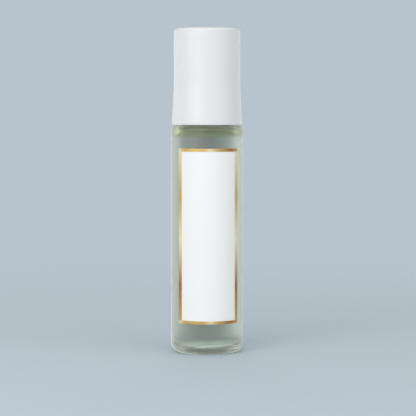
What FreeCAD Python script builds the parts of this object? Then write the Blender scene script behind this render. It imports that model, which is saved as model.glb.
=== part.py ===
"""A 10 ml roll-on bottle: thick glass, roller ball in a plug-in housing, two-piece screw cap and front label.

Millimetres, +Z up. The origin is the middle of the bearing ring that the bottle stands on, and the label faces -Y.
Each piece is one solid, written to its own STEP file.
"""
import FreeCAD
import Part
import math
import os

# Glass body
body_diameter = 19.2
shoulder_height = 60.25
glass_wall = 1.97
shoulder_wall = 0.9
floor_thickness = 1.9
heel_radius = 2.2
shoulder_radius = 1.2
inner_heel_radius = 2.4
inner_shoulder_radius = 0.4
push_up_depth = 0.5
push_up_slope = 1.0
push_up_radius = 0.5
bearing_ring_width = 1.8

# Glass neck, its outside sized by the cap
neck_wall = 1.6
neck_height = 9.35
neck_root_radius = 0.8
rim_radius = 0.4

# Screw thread, one ridge on the glass and its twin inside the cap
thread_pitch = 2.4
thread_depth = 0.65
thread_root_width = 1.15
thread_crest_width = 0.55
thread_clearance = 0.15
thread_fade = 0.2
thread_bottom_land = 2.95
thread_top_land = 1.4
liner_thread_land = 0.4

# Roller ball, the play that lets it turn and its cup's margin to the neck's bore
ball_clearance = 0.06
bore_margin = 0.04
ball_rise = 2.4

# Ball housing, a soft plug pushed into the neck
cup_wall = 1.0
lip_height = 1.5
lip_radius = 0.5
flange_width = 0.45
flange_thickness = 0.9
flange_radius = 0.3
flange_root_radius = 0.2
plug_depth = 7.0
plug_wall = 0.85
plug_taper = 0.4
fin_count = 3
fin_height = 0.14
fin_width = 0.7
fit_clearance = 0.02
seat_web = 0.7
feed_hole_diameter = 3.2
feed_slot_count = 4
feed_slot_width = 0.9
feed_slot_land = 0.8

# Perfume
fill_clearance = 0.05
headspace = 0.95
meniscus_rise = 0.4
meniscus_width = 1.0

# Sealing disc that the cap presses on the ball
seal_thickness = 1.3
seal_clearance = 0.15
dimple_depth = 0.4
seal_play = 0.08

# Cap liner, the threaded inner piece
liner_wall = 0.7
liner_top_wall = 1.0
liner_gap = 1.35
liner_edge_radius = 0.3
bead_overlap = 0.3
bead_width = 0.6

# Cap shell, the white outer piece, set in a little from the body's wall
cap_inset = 0.81
foot_inset = 0.285
press_clearance = 0.04
shell_wall = 0.95
shell_top_wall = 1.4
crown_space = 5.8
cap_gap = 0.15
flare_height = 10.9
flare_blend_radius = 60.0
foot_land = 0.8
cap_edge_radius = 0.7
foot_edge_radius = 0.2
rib_count = 6
rib_thickness = 0.8
rib_depth = 2.2

# Label and its gold foil frame
label_width = 17.7
label_bottom_margin = 8.3
label_top_margin = 5.95
label_thickness = 0.12
adhesive_thickness = 0.02
foil_thickness = 0.05
foil_side_width = 1.05
foil_end_width = 0.8

# Sizes that follow from the ones above
body_radius = body_diameter / 2
inner_radius = body_radius - glass_wall
inner_shoulder_height = shoulder_height - shoulder_wall
fill_rim = inner_shoulder_height - inner_shoulder_radius - headspace

# From the cap's outside in to the ball
cap_radius = body_radius - cap_inset
foot_radius = body_radius - foot_inset
shell_inner_radius = cap_radius - shell_wall
liner_radius = shell_inner_radius - press_clearance
liner_bore_radius = liner_radius - liner_wall
thread_crest_radius = liner_bore_radius - thread_clearance
neck_radius = thread_crest_radius - thread_depth
liner_crest_radius = neck_radius + thread_clearance
bore_radius = neck_radius - neck_wall
pocket_radius = bore_radius - bore_margin
ball_radius = pocket_radius - ball_clearance
seal_radius = liner_bore_radius - seal_clearance

# From the shoulder up to the cap's top
cap_foot = shoulder_height + cap_gap
liner_foot = shoulder_height + liner_gap
rim_height = shoulder_height + neck_height
thread_bottom = shoulder_height + thread_bottom_land + thread_root_width / 2
thread_top = rim_height - thread_top_land - thread_root_width / 2
ball_height = rim_height + ball_rise
ball_top = ball_height + ball_radius
seal_bottom = ball_top - dimple_depth
seal_top = seal_bottom + seal_thickness
liner_ceiling = seal_top + seal_play
liner_top = liner_ceiling + liner_top_wall
shell_ceiling = liner_top + crown_space
cap_top = shell_ceiling + shell_top_wall

# Label layers, laid on the body's wall
label_radius = body_radius + adhesive_thickness
foil_radius = label_radius + label_thickness
label_height = shoulder_height - label_bottom_margin - label_top_margin

SECTIONS_PER_TURN = 24
RIDGE_EMBED = 0.3
SAME_POINT = 1e-6
FULL_TURN = 360
FRONT_ANGLE = -90
UP = FreeCAD.Vector(0, 0, 1)
ORIGIN = FreeCAD.Vector(0, 0, 0)


def point(radius, height, angle=0.0):
    """The point at a radius and height, turned about Z by an angle in radians."""
    return FreeCAD.Vector(radius * math.cos(angle), radius * math.sin(angle), height)


def rounded_outline(corners):
    """A closed wire in the XZ half plane through corners (radius, height, fillet), each fillet a tangent arc.

    Two fillets that need more than the side between them share it in proportion.
    """
    places = [point(radius, height) for radius, height, _ in corners]
    count = len(corners)
    half_angles = []
    reaches = []
    for i, (_, _, fillet) in enumerate(corners):
        before = places[i - 1] - places[i]
        after = places[(i + 1) % count] - places[i]
        half_angles.append(before.getAngle(after) / 2)
        reaches.append(fillet / math.tan(half_angles[i]))
    shares = []
    for i in range(count):
        wanted = reaches[i] + reaches[i - 1]
        side = places[i].distanceToPoint(places[i - 1])
        shares.append(min(1.0, side / wanted) if wanted else 1.0)
    edges = []
    ends = []
    for i, here in enumerate(places):
        reach = reaches[i] * min(shares[i], shares[(i + 1) % count])
        if not reach:
            ends.append((here, here))
            continue
        before = (places[i - 1] - here).normalize()
        after = (places[(i + 1) % count] - here).normalize()
        inward = (before + after).normalize()
        fillet = reach * math.tan(half_angles[i])
        middle = here + inward * (fillet / math.sin(half_angles[i]) - fillet)
        first = here + before * reach
        last = here + after * reach
        edges.append(Part.Arc(first, middle, last).toShape())
        ends.append((first, last))
    for i, (first, _) in enumerate(ends):
        start = ends[i - 1][1]
        if start.distanceToPoint(first) > SAME_POINT:
            edges.append(Part.LineSegment(start, first).toShape())
    return Part.Wire(Part.__sortEdges__(edges))


def turned(corners):
    """The solid made by turning a rounded outline about Z."""
    return Part.Face(rounded_outline(corners)).revolve(ORIGIN, UP, FULL_TURN)


def cylinder(radius, bottom, top):
    """A cylinder about Z between two heights."""
    return Part.makeCylinder(radius, top - bottom, point(0, bottom))


def spun_copies(shape, count):
    """Copies of a shape, evenly spaced about Z."""
    copies = []
    for i in range(count):
        copy = shape.copy()
        copy.rotate(ORIGIN, UP, FULL_TURN * i / count)
        copies.append(copy)
    return copies


def thread_ridge(root_radius, crest_radius, helix_height, bottom, top):
    """A right-handed ridge on a wall, climbing from bottom to top and sinking into the wall at both ends.

    The heights are those of the ridge's middle, and its helix passes helix_height at angle zero.
    """
    outward = math.copysign(1, crest_radius - root_radius)
    buried_radius = root_radius - outward * RIDGE_EMBED
    sunk_radius = root_radius - outward * RIDGE_EMBED / 2
    slope = (thread_root_width - thread_crest_width) / 2 / abs(crest_radius - root_radius)
    base_half = thread_crest_width / 2 + slope * abs(crest_radius - buried_radius)
    first = (bottom - helix_height) / thread_pitch
    last = (top - helix_height) / thread_pitch
    steps = math.ceil((last - first) * SECTIONS_PER_TURN)
    sections = []
    for i in range(steps + 1):
        turn = first + (last - first) * i / steps
        angle = 2 * math.pi * turn
        height = helix_height + thread_pitch * turn
        share = min(1.0, (turn - first) / thread_fade, (last - turn) / thread_fade)
        ease = share * share * (3 - 2 * share)
        tip_radius = sunk_radius + (crest_radius - sunk_radius) * ease
        tip_half = thread_crest_width / 2 + slope * abs(crest_radius - tip_radius)
        corners = [
            point(buried_radius, height - base_half, angle),
            point(tip_radius, height - tip_half, angle),
            point(tip_radius, height + tip_half, angle),
            point(buried_radius, height + base_half, angle),
        ]
        sections.append(Part.makePolygon(corners + corners[:1]))
    return Part.makeLoft(sections, True, False)


def glass_bottle():
    """The hollow glass body with its push-up base, shoulder, bored neck and outside thread."""
    bearing_outer = body_radius - heel_radius
    bearing_inner = bearing_outer - bearing_ring_width
    body = turned(
        [
            (0, push_up_depth, 0),
            (bearing_inner - push_up_slope, push_up_depth, push_up_radius),
            (bearing_inner, 0, push_up_radius),
            (body_radius, 0, heel_radius),
            (body_radius, shoulder_height, shoulder_radius),
            (neck_radius, shoulder_height, neck_root_radius),
            (neck_radius, rim_height, rim_radius),
            (bore_radius, rim_height, rim_radius),
            (bore_radius, inner_shoulder_height, neck_root_radius),
            (inner_radius, inner_shoulder_height, inner_shoulder_radius),
            (inner_radius, floor_thickness, inner_heel_radius),
            (0, floor_thickness, 0),
        ]
    )
    ridge = thread_ridge(neck_radius, thread_crest_radius, thread_bottom, thread_bottom, thread_top)
    return body.fuse(ridge).removeSplitter()


def perfume_fill():
    """The perfume, filling the bottle to just under the shoulder, with its edge drawn up the glass."""
    radius = inner_radius - fill_clearance
    bottom = floor_thickness + fill_clearance
    level = fill_rim - meniscus_rise
    return turned(
        [
            (0, bottom, 0),
            (radius, bottom, inner_heel_radius - fill_clearance),
            (radius, fill_rim, 0),
            (radius - meniscus_width, level, meniscus_width),
            (0, level, 0),
        ]
    )


def roller_ball():
    """The ball, held by the housing's lip and free to turn."""
    return Part.makeSphere(ball_radius, point(0, ball_height))


def roller_housing():
    """The plug with its sealing fins, flange, ball cup, seat and feed slots."""
    plug_bottom = rim_height - plug_depth
    flange_top = rim_height + flange_thickness
    fin_radius = bore_radius - fit_clearance
    plug_radius = fin_radius - fin_height
    chamber_radius = plug_radius - plug_wall
    cup_radius = pocket_radius + cup_wall
    lip_top = ball_height + lip_height
    fin_step = (plug_depth - rim_radius - plug_taper) / (fin_count + 1)
    corners = [
        (0, plug_bottom, 0),
        (plug_radius - plug_taper, plug_bottom, 0),
        (plug_radius, plug_bottom + plug_taper, 0),
    ]
    for i in range(fin_count):
        middle = plug_bottom + plug_taper + fin_step * (i + 1)
        corners.append((plug_radius, middle - fin_width / 2, 0))
        corners.append((fin_radius, middle, 0))
        corners.append((plug_radius, middle + fin_width / 2, 0))
    corners += [
        (plug_radius, rim_height, 0),
        (cup_radius + flange_width, rim_height, 0),
        (cup_radius + flange_width, flange_top, flange_radius),
        (cup_radius, flange_top, flange_root_radius),
        (cup_radius, lip_top, lip_radius),
        (0, lip_top, 0),
    ]
    pocket = Part.makeSphere(pocket_radius, point(0, ball_height))
    seat = Part.makeSphere(pocket_radius + seat_web, point(0, ball_height))
    chamber = cylinder(chamber_radius, plug_bottom, ball_height).cut(seat)
    feed_bottom = ball_height - pocket_radius - 2 * seat_web
    feed = cylinder(feed_hole_diameter / 2, feed_bottom, ball_height)
    slot_corner = FreeCAD.Vector(0, -feed_slot_width / 2, feed_bottom)
    slot_reach = chamber_radius - feed_slot_land
    slot = Part.makeBox(slot_reach, feed_slot_width, ball_height - feed_bottom, slot_corner)
    return turned(corners).cut([pocket, chamber, feed] + spun_copies(slot, feed_slot_count))


def seal_disc():
    """The soft disc inside the cap, dimpled where it closes on the ball."""
    dimple = Part.makeSphere(ball_radius + seal_play, point(0, ball_height))
    return cylinder(seal_radius, seal_bottom, seal_top).cut(dimple)


def cap_liner():
    """The threaded inner cap, with a bead that keeps the sealing disc under its ceiling."""
    bead_top = seal_bottom - seal_play
    bead_radius = seal_radius - bead_overlap
    cup = turned(
        [
            (0, liner_top, 0),
            (liner_radius, liner_top, liner_edge_radius),
            (liner_radius, liner_foot, liner_edge_radius),
            (liner_bore_radius, liner_foot, liner_edge_radius),
            (liner_bore_radius, bead_top - bead_width, 0),
            (bead_radius, bead_top - bead_width / 2, 0),
            (bead_radius, bead_top, 0),
            (liner_bore_radius, bead_top, 0),
            (liner_bore_radius, liner_ceiling, 0),
            (0, liner_ceiling, 0),
        ]
    )
    half_pitch = thread_pitch / 2
    ridge_bottom = liner_foot + liner_thread_land + thread_root_width / 2
    ridge_top = thread_top - half_pitch
    ridge = thread_ridge(
        liner_bore_radius, liner_crest_radius, thread_bottom - half_pitch, ridge_bottom, ridge_top
    )
    return cup.fuse(ridge).removeSplitter()


def cap_shell():
    """The white outer shell, straight above and flared to its foot, with ribs that stop the liner."""
    flare_top = cap_foot + flare_height
    shell = turned(
        [
            (0, cap_top, 0),
            (cap_radius, cap_top, cap_edge_radius),
            (cap_radius, flare_top, flare_blend_radius),
            (foot_radius, cap_foot + foot_land, 0),
            (foot_radius, cap_foot, foot_edge_radius),
            (foot_radius - shell_wall, cap_foot, foot_edge_radius),
            (foot_radius - shell_wall, cap_foot + foot_land, 0),
            (shell_inner_radius, flare_top, flare_blend_radius),
            (shell_inner_radius, shell_ceiling, 0),
            (0, shell_ceiling, 0),
        ]
    )
    rib_corner = FreeCAD.Vector(shell_inner_radius - rib_depth, -rib_thickness / 2, liner_top)
    rib_length = rib_depth + shell_wall / 2
    rib_height = crown_space + shell_top_wall / 2
    rib = Part.makeBox(rib_length, rib_thickness, rib_height, rib_corner)
    return shell.fuse(spun_copies(rib, rib_count)).removeSplitter()


def wrapped_patch(inside_radius, thickness, bottom, height, width):
    """A thin patch wrapped about Z, centred on the front, its width measured along the label's face."""
    angle = math.degrees(width / foil_radius)
    outside = Part.makeCylinder(inside_radius + thickness, height, point(0, bottom), UP, angle)
    patch = outside.cut(cylinder(inside_radius, bottom, bottom + height))
    patch.rotate(ORIGIN, UP, FRONT_ANGLE - angle / 2)
    return patch


def label_stock():
    """The blank label on the front of the glass."""
    return wrapped_patch(label_radius, label_thickness, label_bottom_margin, label_height, label_width)


def label_foil_frame():
    """The gold foil border stamped round the edge of the label."""
    window_bottom = label_bottom_margin + foil_end_width
    window_height = label_height - 2 * foil_end_width
    window_width = label_width - 2 * foil_side_width
    whole = wrapped_patch(foil_radius, foil_thickness, label_bottom_margin, label_height, label_width)
    window = wrapped_patch(foil_radius, foil_thickness, window_bottom, window_height, window_width)
    return whole.cut(window)


PIECES = [
    glass_bottle,
    perfume_fill,
    roller_ball,
    roller_housing,
    seal_disc,
    cap_liner,
    cap_shell,
    label_stock,
    label_foil_frame,
]


def main():
    """Builds every piece and writes it to parts/NAME.step."""
    os.makedirs("parts", exist_ok=True)
    for build in PIECES:
        shape = build()
        solids = shape.Solids
        solid = solids[0] if len(solids) == 1 else Part.makeCompound(solids)
        solid.exportStep(f"parts/{build.__name__}.step")
        print(build.__name__, len(solids), shape.isValid(), round(shape.Volume, 2), "mm3")
    print("height", round(cap_top, 3), "ball diameter", round(2 * ball_radius, 3))


main()
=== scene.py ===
"""Looks of the roll-on bottle: its materials, the perfume as a wetting liquid, and the studio."""
import math

import bmesh
import bpy
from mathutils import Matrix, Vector


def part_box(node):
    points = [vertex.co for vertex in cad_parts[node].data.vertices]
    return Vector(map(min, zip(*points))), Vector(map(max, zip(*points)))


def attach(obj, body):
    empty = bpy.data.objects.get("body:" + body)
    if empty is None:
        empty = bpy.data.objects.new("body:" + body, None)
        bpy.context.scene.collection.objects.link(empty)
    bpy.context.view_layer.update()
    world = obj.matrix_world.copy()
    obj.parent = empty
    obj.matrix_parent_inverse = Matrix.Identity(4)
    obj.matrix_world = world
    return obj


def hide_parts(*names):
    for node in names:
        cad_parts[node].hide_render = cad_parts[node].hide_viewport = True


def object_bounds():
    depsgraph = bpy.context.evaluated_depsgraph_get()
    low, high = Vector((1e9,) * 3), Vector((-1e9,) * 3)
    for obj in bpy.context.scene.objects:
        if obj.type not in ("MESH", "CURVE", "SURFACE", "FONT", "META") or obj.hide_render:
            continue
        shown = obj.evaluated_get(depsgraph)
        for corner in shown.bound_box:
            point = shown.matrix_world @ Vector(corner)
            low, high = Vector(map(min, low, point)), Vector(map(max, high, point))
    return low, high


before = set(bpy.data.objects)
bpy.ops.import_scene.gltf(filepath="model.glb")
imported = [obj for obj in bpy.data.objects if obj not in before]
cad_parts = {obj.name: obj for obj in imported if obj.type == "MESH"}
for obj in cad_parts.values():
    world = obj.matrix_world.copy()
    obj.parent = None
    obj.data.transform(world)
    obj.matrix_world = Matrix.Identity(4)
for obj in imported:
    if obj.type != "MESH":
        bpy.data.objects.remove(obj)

cad_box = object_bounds()

MM = 0.001

# Camera, as the photograph sees the bottle
LENS_MM = 138.46
CAMERA_DISTANCE = 425.8 * MM
CAMERA_HEIGHT = 63.1 * MM
CAMERA_AZIMUTH = math.radians(-2.9)
AIM_HEIGHT = 38.3 * MM
AIM_RIGHT = 0.27 * MM
CLIP_START = 0.01
CLIP_END = 20

# Perfume: its shape
WETTING = 0.09 * MM
MENISCUS_RISE = 0.45 * MM
MENISCUS_WIDTH = 1.3 * MM
MENISCUS_POWER = 3.0
MENISCUS_STEPS = 10
HEEL_RADIUS = 2.4 * MM
HEEL_STEPS = 12
ROUND_SEGMENTS = 128
SHARP_ANGLE = math.radians(35)

# Glass: its satin lies outside this radius, and its colour changes with height; at the shoulder it is greener
# and darker, the green of thick glass with painted shade under the cap
SATIN_FROM = 8.6 * MM
SATIN_FADE = 0.4 * MM
CLEAR_ROUGHNESS = 0.03
FOOT_GLASS = (0.90, 0.93, 0.80)
CLEAR_GLASS = (0.985, 0.995, 0.985)
# Shoulder colour: the green of thick glass with painted shade from the cap above it
SHADED_SHOULDER_GLASS = (0.74, 0.81, 0.52)
FOOT_FADE = 1.5 * MM
SHOULDER_FADE = 1.2 * MM
SHOULDER_RISE = 1.8 * MM

# Plastics: the node, and how its material is made
PLASTICS = {
    "cap_shell": dict(
        name="cap_plastic", color=(0.80, 0.805, 0.81), roughness=0.26, spread=0.03, cloud=0.015, grain=0.01
    ),
    "cap_liner": dict(
        name="liner_plastic", color=(0.78, 0.78, 0.78), roughness=0.42, spread=0.05, cloud=0.03, grain=0.05
    ),
    "roller_housing": dict(
        name="housing_plastic", color=(0.76, 0.77, 0.77), roughness=0.40, spread=0.05, cloud=0.03, grain=0.05
    ),
    "seal_disc": dict(
        name="seal_foam", color=(0.80, 0.79, 0.77), roughness=0.65, spread=0.08, cloud=0.06, grain=0.3
    ),
}
GRAIN_DEPTH = 0.02 * MM

# Foil: gold with painted highlights and painted shade up the side bars and across the end bars
# The pale gold is a painted highlight and the copper is painted shade on the gold foil
GOLD_HIGHLIGHT = (0.86, 0.75, 0.48)
GOLD = (0.58, 0.40, 0.14)
SHADED_GOLD = (0.38, 0.18, 0.065)
SIDE_LIGHT_AND_SHADE = [(0.0, GOLD), (0.22, SHADED_GOLD), (0.48, GOLD_HIGHLIGHT), (0.72, GOLD), (1.0, GOLD_HIGHLIGHT)]
END_LIGHT_AND_SHADE = [
    (0.0, GOLD_HIGHLIGHT),
    (0.1, GOLD),
    (0.4, GOLD),
    (0.53, GOLD_HIGHLIGHT),
    (0.68, GOLD),
    (0.88, SHADED_GOLD),
    (1.0, GOLD),
]
END_BAR_WIDTH = 0.8 * MM

# Studio: the pale backdrop and floor that the camera sees, and the even light on the object
BACKDROP = (0.48, 0.55, 0.61)
WORLD_FILL = 0.42
FLOOR_COLOR = (0.545, 0.63, 0.70)
FLOOR_RADIUS = 1.5
FLOOR_SEGMENTS = 96
FLOOR_DROP = 0.02 * MM
FADE_START = 0.05
FADE_END = 0.28
LAMP_COLOR = (1.0, 0.985, 0.965)

# Graded sweep that gloss and glass show in place of the backdrop: levels (place, level) from left to right.
# Gloss sees it near white, and glass sees it dark behind the bottle's middle and paler at the sides.
SWEEP_TINT = (0.97, 1.0, 0.99)
MIRRORED = [(0.0, 1.0), (0.5, 1.0), (0.62, 0.95), (1.0, 0.85)]
NEAR_SWEEP = [(0.0, 1.0), (0.27, 1.0), (0.46, 0.13), (0.56, 0.12), (0.82, 0.60), (1.0, 0.66)]
FAR_SWEEP = [(0.0, 1.0), (0.17, 0.98), (0.36, 0.02), (0.70, 0.02), (0.92, 0.75), (1.0, 0.8)]
SWEEP_FRONT = (0.75, 0.75, 0.74)
FRONT_FADE = (0.1, -0.3)
CEILING = (0.27, 0.28, 0.27)
CEILING_FADE = (0.08, 0.35)


def linked(name, data):
    """A new object in the scene for a mesh, lamp or camera."""
    thing = bpy.data.objects.new(name, data)
    bpy.context.scene.collection.objects.link(thing)
    return thing


def look(thing, place, target):
    """Puts a lamp or camera at a place and turns it to a target."""
    thing.location = place
    thing.rotation_euler = (target - place).to_track_quat("-Z", "Y").to_euler()


def arc(center, radius, start, stop, steps):
    """Points (radius, height) on an arc from one angle to another, in degrees."""
    points = []
    for i in range(steps + 1):
        angle = math.radians(start + (stop - start) * i / steps)
        points.append((center[0] + radius * math.cos(angle), center[1] + radius * math.sin(angle)))
    return points


def lathe(name, profile, segments=ROUND_SEGMENTS):
    """A closed, smooth piece made by turning (radius, height) points about Z, from one pole to the other."""
    bm = bmesh.new()
    rings = []
    for radius, height in profile:
        if radius == 0:
            rings.append([bm.verts.new((0, 0, height))])
            continue
        ring = []
        for i in range(segments):
            angle = 2 * math.pi * i / segments
            ring.append(bm.verts.new((radius * math.cos(angle), radius * math.sin(angle), height)))
        rings.append(ring)
    for lower, upper in zip(rings, rings[1:]):
        for i in range(segments):
            j = (i + 1) % segments
            if len(lower) == 1:
                corners = [lower[0], upper[j], upper[i]]
            elif len(upper) == 1:
                corners = [lower[i], lower[j], upper[0]]
            else:
                corners = [lower[i], lower[j], upper[j], upper[i]]
            bm.faces.new(corners)
    bmesh.ops.recalc_face_normals(bm, faces=bm.faces)
    for face in bm.faces:
        face.smooth = True
    mesh = bpy.data.meshes.new(name)
    bm.to_mesh(mesh)
    bm.free()
    mesh.set_sharp_from_angle(angle=SHARP_ANGLE)
    return linked(name, mesh)


class Nodes:
    """The node tree of a new material or world, with short ways to add and join nodes."""

    def __init__(self, name, kind="Material"):
        self.owner = bpy.data.worlds.new(name) if kind == "World" else bpy.data.materials.new(name)
        self.owner.use_nodes = True
        self.tree = self.owner.node_tree
        self.tree.nodes.clear()
        self.output = self.add("Output" + kind)

    def add(self, kind, inputs=None, **properties):
        """A node of a kind, whose inputs are joined to sockets or set to numbers and colours."""
        node = self.tree.nodes.new("ShaderNode" + kind)
        for key, value in properties.items():
            setattr(node, key, value)
        for key, value in (inputs or {}).items():
            socket = node.inputs[key]
            if isinstance(value, bpy.types.NodeSocket):
                self.tree.links.new(value, socket)
            else:
                socket.default_value = (*value, 1) if socket.type == "RGBA" else value
        return node

    def finish(self, surface, volume=None):
        """Joins the shaders to the output, and gives the finished material or world."""
        self.tree.links.new(surface, self.output.inputs["Surface"])
        if volume is not None:
            self.tree.links.new(volume, self.output.inputs["Volume"])
        return self.owner

    def principled(self, inputs):
        """The shader of a solid, metal or clear surface."""
        return self.add("BsdfPrincipled", inputs).outputs["BSDF"]

    def emission(self, color):
        """A surface that shows a colour as it is."""
        return self.add("Emission", {"Color": color}).outputs["Emission"]

    def background(self, color, strength=1.0):
        """A world that shows a colour at a strength."""
        return self.add("Background", {"Color": color, "Strength": strength}).outputs["Background"]

    def mix_shaders(self, factor, first, second):
        """The first shader where the factor is 0, and the second where it is 1."""
        return self.add("MixShader", {0: factor, 1: first, 2: second}).outputs["Shader"]

    def mix_colors(self, factor, first, second):
        """The first colour where the factor is 0, and the second where it is 1."""
        return self.add("MixRGB", {"Fac": factor, "Color1": first, "Color2": second}).outputs["Color"]

    def math(self, operation, *values):
        """The result of an operation on numbers or sockets."""
        return self.add("Math", dict(enumerate(values)), operation=operation).outputs["Value"]

    def place(self):
        """The object's own coordinates, which are the part's frame in metres."""
        return self.add("TexCoord").outputs["Object"]

    def axes(self, vector):
        """The X, Y and Z of a vector."""
        return self.add("SeparateXYZ", {"Vector": vector}).outputs

    def length(self, vector):
        """The length of a vector."""
        return self.add("VectorMath", {0: vector}, operation="LENGTH").outputs["Value"]

    def between(self, value, start, stop, **properties):
        """0 up to start, 1 from stop on, and rising between them."""
        inputs = {"Value": value, "From Min": start, "From Max": stop}
        return self.add("MapRange", inputs, **properties).outputs["Result"]

    def spread(self, factor, low, high):
        """A factor from 0 to 1 mapped to a range."""
        return self.add("MapRange", {"Value": factor, "To Min": low, "To Max": high}).outputs["Result"]

    def noise(self, per_metre, detail=3.0):
        """Noise with about so many features to the metre."""
        inputs = {"Vector": self.place(), "Scale": per_metre, "Detail": detail}
        return self.add("TexNoise", inputs).outputs["Fac"]

    def grain(self, height, strength):
        """A normal from a fine height pattern."""
        inputs = {"Height": height, "Strength": strength, "Distance": GRAIN_DEPTH}
        return self.add("Bump", inputs).outputs["Normal"]

    def ramp(self, factor, stops):
        """A colour from stops (place, colour)."""
        node = self.add("ValToRGB", {"Fac": factor})
        elements = node.color_ramp.elements
        while len(elements) < len(stops):
            elements.new(0.5)
        for element, (place, color) in zip(elements, stops):
            element.position = place
            element.color = (*color, 1)
        return node.outputs["Color"]


def clear_material(nodes, shader, lamp_tint, color, density):
    """A clear material: it takes up some light inside, and lets lamp light through, tinted."""
    open_way = nodes.add("BsdfTransparent", {"Color": lamp_tint}).outputs["BSDF"]
    lamp_ray = nodes.add("LightPath").outputs["Is Shadow Ray"]
    volume = nodes.add("VolumeAbsorption", {"Color": color, "Density": density}).outputs["Volume"]
    return nodes.finish(nodes.mix_shaders(lamp_ray, shader, open_way), volume)


def glass_material():
    """Glass with a soft satin outside and clear inside, greener at its foot, and at the shoulder greener with
    painted shade under the cap.
    """
    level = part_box("perfume_fill")[1].z
    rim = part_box("glass_bottle")[1].z
    shoulder = level + SHOULDER_RISE
    nodes = Nodes("satin_glass")
    place = nodes.axes(nodes.place())
    # Greener foot, and at the shoulder green glass darkened by painted shade under the cap
    tint_and_shade_by_height = [
        (0.0, FOOT_GLASS),
        (FOOT_FADE, CLEAR_GLASS),
        (level - SHOULDER_FADE, CLEAR_GLASS),
        (level, SHADED_SHOULDER_GLASS),
        (shoulder, SHADED_SHOULDER_GLASS),
        (shoulder + SHOULDER_FADE, CLEAR_GLASS),
    ]
    tint_and_shade = nodes.ramp(nodes.between(place["Z"], 0.0, rim), [(z / rim, color) for z, color in tint_and_shade_by_height])
    radius = nodes.length(nodes.add("CombineXYZ", {"X": place["X"], "Y": place["Y"]}).outputs["Vector"])
    outside = nodes.between(radius, SATIN_FROM, SATIN_FROM + SATIN_FADE)
    satin = nodes.spread(nodes.noise(per_metre=700), low=0.25, high=0.29)
    shader = nodes.principled(
        {
            "Base Color": tint_and_shade,
            "Transmission Weight": 0.97,
            "IOR": 1.5,
            "Roughness": nodes.math("MULTIPLY_ADD", satin, outside, CLEAR_ROUGHNESS),
            "Sheen Weight": 1.0,
            "Sheen Roughness": 0.5,
            "Sheen Tint": (1.0, 1.0, 0.97),
        }
    )
    return clear_material(nodes, shader, lamp_tint=(0.55, 0.59, 0.55), color=(0.64, 0.82, 0.62), density=45.0)


def perfume_material():
    """Clear, pale green liquid."""
    nodes = Nodes("perfume_liquid")
    shader = nodes.principled(
        {"Base Color": (1, 1, 1), "Transmission Weight": 1.0, "IOR": 1.36, "Roughness": 0.02}
    )
    return clear_material(nodes, shader, lamp_tint=(0.9, 0.93, 0.91), color=(0.42, 0.82, 0.74), density=32.0)


def plastic_material(name, color, roughness, spread, cloud, grain):
    """Moulded plastic: a faintly clouded colour, uneven gloss and a fine grain."""
    nodes = Nodes(name)
    clouded = [c * (1 - cloud) for c in color]
    gloss = nodes.noise(per_metre=900)
    shader = nodes.principled(
        {
            "Base Color": nodes.ramp(nodes.noise(per_metre=120), [(0.3, clouded), (0.7, color)]),
            "Roughness": nodes.spread(gloss, low=roughness - spread, high=roughness + spread),
            "Normal": nodes.grain(nodes.noise(per_metre=6000, detail=2.0), strength=grain),
            "IOR": 1.49,
            "Subsurface Weight": 0.15,
            "Subsurface Radius": (1.0, 1.0, 1.0),
            "Subsurface Scale": 0.6 * MM,
        }
    )
    return nodes.finish(shader)


def paper_material():
    """Smooth white label paper with a faint fibre."""
    nodes = Nodes("label_paper")
    fibre = nodes.noise(per_metre=9000, detail=4.0)
    shader = nodes.principled(
        {
            "Base Color": nodes.ramp(fibre, [(0.3, (0.90, 0.90, 0.89)), (0.7, (0.93, 0.93, 0.92))]),
            "Roughness": 0.62,
            "Normal": nodes.grain(fibre, strength=0.08),
        }
    )
    return nodes.finish(shader)


def steel_material():
    """Polished steel with fine wear marks."""
    nodes = Nodes("ball_steel")
    wear = nodes.noise(per_metre=1500, detail=5.0)
    shader = nodes.principled(
        {
            "Base Color": (0.66, 0.66, 0.67),
            "Metallic": 1.0,
            "Roughness": nodes.spread(wear, low=0.06, high=0.16),
        }
    )
    return nodes.finish(shader)


def foil_material():
    """Stamped gold foil whose colour runs from painted highlight (pale) through gold to painted shade
    (copper) on each bar.
    """
    low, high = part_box("label_foil_frame")
    nodes = Nodes("gold_foil")
    place = nodes.axes(nodes.place())
    # Painted highlights and painted shade along the side bars and across the end bars of the foil
    side_light_and_shade = nodes.ramp(nodes.between(place["Z"], low.z, high.z), SIDE_LIGHT_AND_SHADE)
    end_light_and_shade = nodes.ramp(nodes.between(place["X"], low.x, high.x), END_LIGHT_AND_SHADE)
    from_middle = nodes.math("ABSOLUTE", nodes.math("SUBTRACT", place["Z"], (low.z + high.z) / 2))
    on_end = nodes.math("GREATER_THAN", from_middle, (high.z - low.z) / 2 - END_BAR_WIDTH)
    shader = nodes.principled(
        {
            "Base Color": nodes.mix_colors(on_end, side_light_and_shade, end_light_and_shade),
            "Metallic": 1.0,
            "Roughness": nodes.spread(nodes.noise(per_metre=2500), low=0.36, high=0.48),
            "Normal": nodes.grain(nodes.noise(per_metre=9000), strength=0.05),
        }
    )
    return nodes.finish(shader)


def finish_node(node_name, material):
    """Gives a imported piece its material."""
    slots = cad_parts[node_name].data.materials
    slots.clear()
    slots.append(material)


def perfume_piece():
    """The liquid, which wets the glass: it reaches just into the wall and climbs it at the rim."""
    low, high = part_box("perfume_fill")
    radius = high.x + WETTING
    bottom = low.z - WETTING
    level = high.z - MENISCUS_RISE
    profile = [(0, bottom)]
    profile += arc((radius - HEEL_RADIUS, bottom + HEEL_RADIUS), HEEL_RADIUS, -90, 0, HEEL_STEPS)
    for i in range(MENISCUS_STEPS + 1):
        inward = i / MENISCUS_STEPS
        climb = MENISCUS_RISE * (1 - inward) ** MENISCUS_POWER
        profile.append((radius - MENISCUS_WIDTH * inward, level + climb))
    profile.append((0, level))
    piece = lathe("perfume_liquid", profile)
    piece.data.materials.append(perfume_material())
    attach(piece, "bottle")
    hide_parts("perfume_fill")


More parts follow.
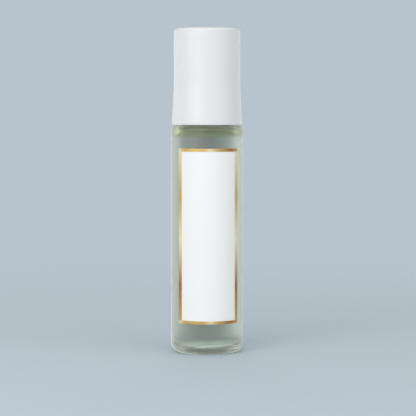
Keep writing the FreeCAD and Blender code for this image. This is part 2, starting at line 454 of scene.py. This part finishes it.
def camera():
    """The photograph's view."""
    data = bpy.data.cameras.new("camera")
    data.lens = LENS_MM
    data.clip_start = CLIP_START
    data.clip_end = CLIP_END
    view = linked("camera", data)
    side = Vector((math.cos(CAMERA_AZIMUTH), math.sin(CAMERA_AZIMUTH), 0))
    back = Vector((math.sin(CAMERA_AZIMUTH), -math.cos(CAMERA_AZIMUTH), 0))
    place = back * CAMERA_DISTANCE + Vector((0, 0, CAMERA_HEIGHT))
    look(view, place, side * AIM_RIGHT + Vector((0, 0, AIM_HEIGHT)))
    bpy.context.scene.camera = view


def area_light(name, azimuth, elevation, distance, size, power):
    """A softbox that looks at the middle of the bottle; azimuth is from the front, positive to the right."""
    data = bpy.data.lights.new(name, "AREA")
    data.shape = "RECTANGLE"
    data.size, data.size_y = size
    data.energy = power
    data.color = LAMP_COLOR
    a, e = math.radians(azimuth), math.radians(elevation)
    away = Vector((math.sin(a) * math.cos(e), -math.cos(a) * math.cos(e), math.sin(e)))
    middle = Vector((0, 0, (cad_box[0].z + cad_box[1].z) / 2))
    look(linked(name, data), middle + away * distance, middle)


def sweep(nodes, direction, levels):
    """The graded sweep in a direction: levels across behind the bottle, even in front and above."""
    axes = nodes.axes(direction)
    across = nodes.between(axes["X"], -1.0, 1.0)
    behind = nodes.ramp(across, [(place, [level * c for c in SWEEP_TINT]) for place, level in levels])
    around = nodes.mix_colors(nodes.between(axes["Y"], *FRONT_FADE), behind, SWEEP_FRONT)
    return nodes.mix_colors(nodes.between(axes["Z"], *CEILING_FADE), around, CEILING)


def unscattered(nodes, kind):
    """1 for rays of a kind that no matt surface has scattered before."""
    path = nodes.add("LightPath").outputs
    return nodes.math("MULTIPLY", path[kind], nodes.math("LESS_THAN", path["Diffuse Depth"], 1))


def studio_world():
    """Even light for the object, the pale backdrop for the camera, and the sweep for gloss and glass."""
    nodes = Nodes("studio", "World")
    nodes.owner.cycles.sampling_method = "NONE"
    direction = nodes.add("TexCoord").outputs["Generated"]
    views = {
        "Is Camera Ray": nodes.background(BACKDROP),
        "Is Glossy Ray": nodes.background(sweep(nodes, direction, MIRRORED)),
        "Is Transmission Ray": nodes.background(sweep(nodes, direction, FAR_SWEEP)),
    }
    shader = nodes.background((1, 1, 1), WORLD_FILL)
    for kind, view in views.items():
        shader = nodes.mix_shaders(unscattered(nodes, kind), shader, view)
    bpy.context.scene.world = nodes.finish(shader)


def studio_floor():
    """A pale floor that keeps the shadow and melts into the backdrop; gloss and glass see the sweep."""
    bpy.ops.mesh.primitive_circle_add(
        vertices=FLOOR_SEGMENTS, radius=FLOOR_RADIUS, fill_type="NGON", location=(0, 0, -FLOOR_DROP)
    )
    floor = bpy.context.object
    floor.name = "floor"
    nodes = Nodes("floor")
    nodes.owner.cycles.emission_sampling = "NONE"
    place = nodes.place()
    fade = nodes.between(nodes.length(place), FADE_START, FADE_END, interpolation_type="SMOOTHSTEP")
    near = nodes.add("BsdfDiffuse", {"Color": FLOOR_COLOR}).outputs["BSDF"]
    direction = nodes.add("VectorMath", {0: place}, operation="NORMALIZE").outputs["Vector"]
    views = {
        "Is Glossy Ray": nodes.emission(sweep(nodes, direction, MIRRORED)),
        "Is Transmission Ray": nodes.emission(sweep(nodes, direction, NEAR_SWEEP)),
    }
    shader = nodes.mix_shaders(fade, near, nodes.emission(BACKDROP))
    for kind, view in views.items():
        shader = nodes.mix_shaders(unscattered(nodes, kind), shader, view)
    floor.data.materials.append(nodes.finish(shader))


def studio_lamps():
    """Large softboxes: three in front, one at each side and one behind."""
    area_light("strip", azimuth=-45, elevation=14, distance=0.60, size=(0.62, 0.25), power=0.75)
    area_light("key", azimuth=-24, elevation=32, distance=0.62, size=(0.55, 0.50), power=1.58)
    area_light("fill", azimuth=42, elevation=30, distance=0.80, size=(0.70, 0.60), power=1.45)
    area_light("side_left", azimuth=-128, elevation=6, distance=0.70, size=(0.60, 0.90), power=0.5)
    area_light("side_right", azimuth=128, elevation=6, distance=0.70, size=(0.60, 0.90), power=0.4)
    area_light("back", azimuth=180, elevation=42, distance=0.80, size=(0.60, 0.50), power=1.2)


finish_node("glass_bottle", glass_material())
for node_name, finish in PLASTICS.items():
    finish_node(node_name, plastic_material(**finish))
finish_node("label_stock", paper_material())
finish_node("label_foil_frame", foil_material())
finish_node("roller_ball", steel_material())
perfume_piece()
camera()
studio_world()
studio_floor()
studio_lamps()
bpy.context.scene.view_settings.view_transform = "Standard"
